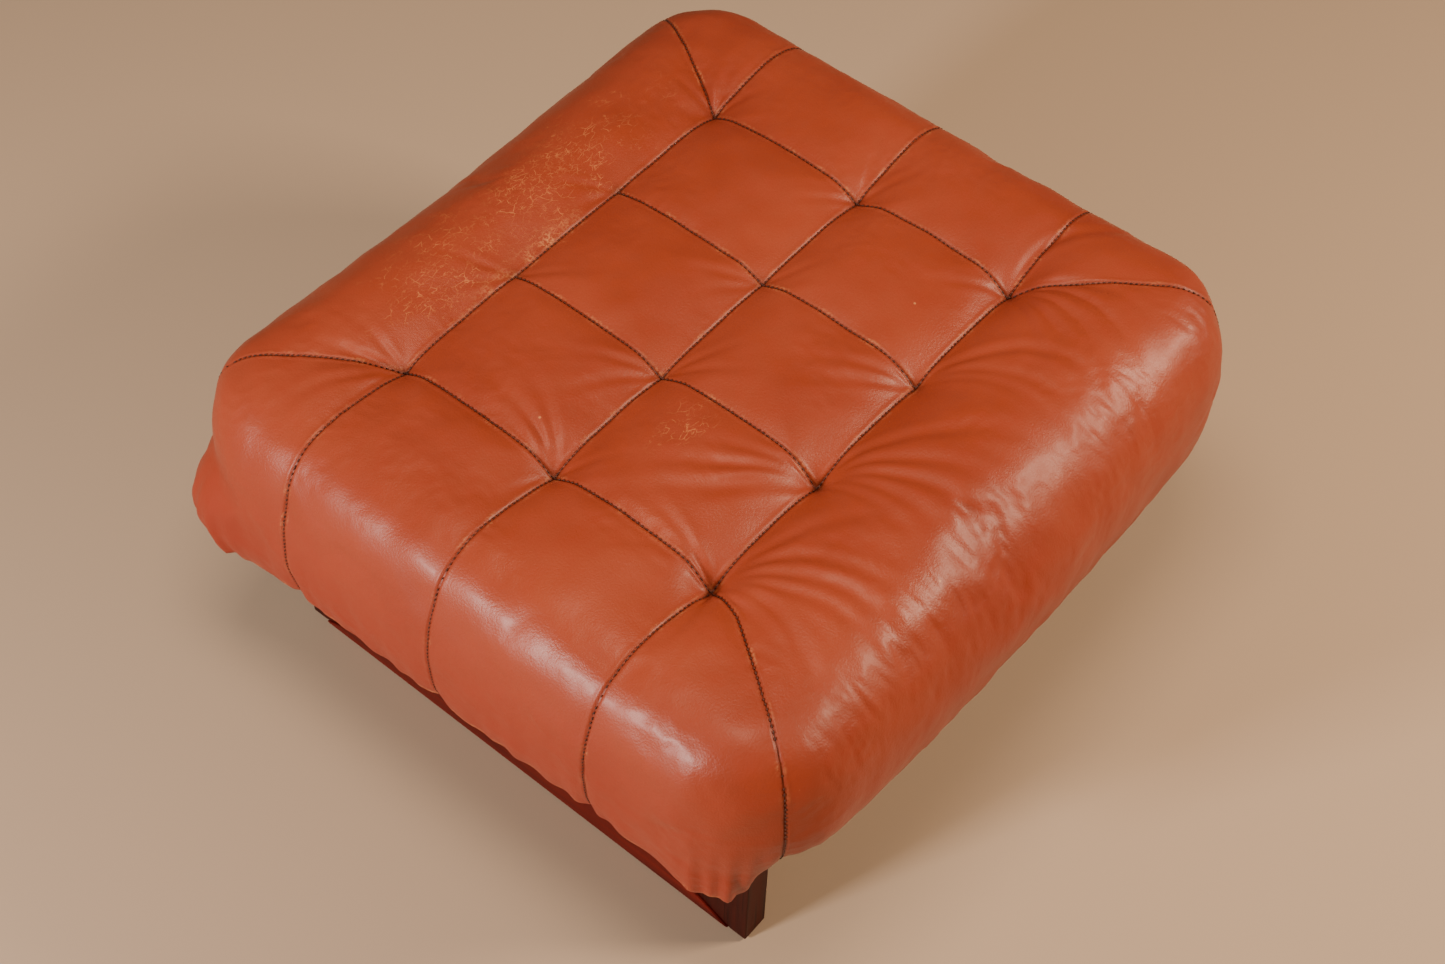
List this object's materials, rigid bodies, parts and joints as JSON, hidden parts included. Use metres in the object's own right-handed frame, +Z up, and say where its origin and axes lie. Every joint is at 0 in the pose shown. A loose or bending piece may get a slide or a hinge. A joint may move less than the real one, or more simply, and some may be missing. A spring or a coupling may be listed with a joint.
{
  "type": "storage ottoman",
  "caption": "Low square storage ottoman with a tufted leather cushion lid that overhangs a dark wooden box on solid end panels and tilts up on hinges along its back edge.",
  "frame": {"origin": "on the floor under the middle of the seat", "axes": "+X along the long side of the seat, +Y towards the hinges at the back, +Z up"},
  "size_m": [0.712, 0.67, 0.36],
  "materials": {
    "leather": "satin",
    "rosewood": "satin",
    "red_rosewood": "satin",
    "plywood": "matte",
    "pine": "matte",
    "foam": "matte",
    "dust_cloth": "matte",
    "elastic": "matte",
    "twine": "matte",
    "steel": "satin",
    "rubber": "matte",
    "glide_plastic": "matte"
  },
  "bodies": {
    "base": {"back_rail": "rosewood", "bottom_cleat_back": "pine", "bottom_cleat_front": "pine", "bottom_cleat_left": "pine", "bottom_cleat_right": "pine", "box_bottom": "plywood", "corner_block_back_left": "pine", "corner_block_back_right": "pine", "corner_block_front_left": "pine", "corner_block_front_right": "pine", "end_panel_left": "rosewood", "end_panel_right": "rosewood", "floor_glide_back_left": "glide_plastic", "floor_glide_back_right": "glide_plastic", "floor_glide_front_left": "glide_plastic", "floor_glide_front_right": "glide_plastic", "front_rail": "rosewood", "hinge_base_leaf_left": "steel", "hinge_base_leaf_right": "steel", "hinge_pin_left": "steel", "hinge_pin_right": "steel", "hinge_screw_base_a_left": "steel", "hinge_screw_base_a_right": "steel", "hinge_screw_base_b_left": "steel", "hinge_screw_base_b_right": "steel", "lid_bumper_back_left": "rubber", "lid_bumper_back_right": "rubber", "lid_bumper_front_left": "rubber", "lid_bumper_front_right": "rubber", "runner_left": "red_rosewood", "runner_right": "red_rosewood"},
    "lid": {"dust_cover": "dust_cloth", "edge_foam_back": "foam", "edge_foam_front": "foam", "edge_foam_left": "foam", "edge_foam_right": "foam", "foam_core": "foam", "hem_elastic": "elastic", "hinge_lid_leaf_left": "steel", "hinge_lid_leaf_right": "steel", "hinge_screw_lid_a_left": "steel", "hinge_screw_lid_a_right": "steel", "hinge_screw_lid_b_left": "steel", "hinge_screw_lid_b_right": "steel", "leather_cover": "leather", "lid_board": "plywood", "tuft_tie_01": "twine", "tuft_tie_02": "twine", "tuft_tie_03": "twine", "tuft_tie_04": "twine", "tuft_tie_05": "twine", "tuft_tie_06": "twine", "tuft_tie_07": "twine", "tuft_tie_08": "twine", "tuft_tie_09": "twine", "tuft_tie_10": "twine", "tuft_tie_11": "twine", "tuft_tie_12": "twine"}
  },
  "joints": [
    {"name": "lid_hinge", "type": "hinge", "parent": "base", "child": "lid", "pos_m": [0, 0.268, 0.18], "axis": [-1, 0, 0], "range_deg": [0, 85]}
  ]
}
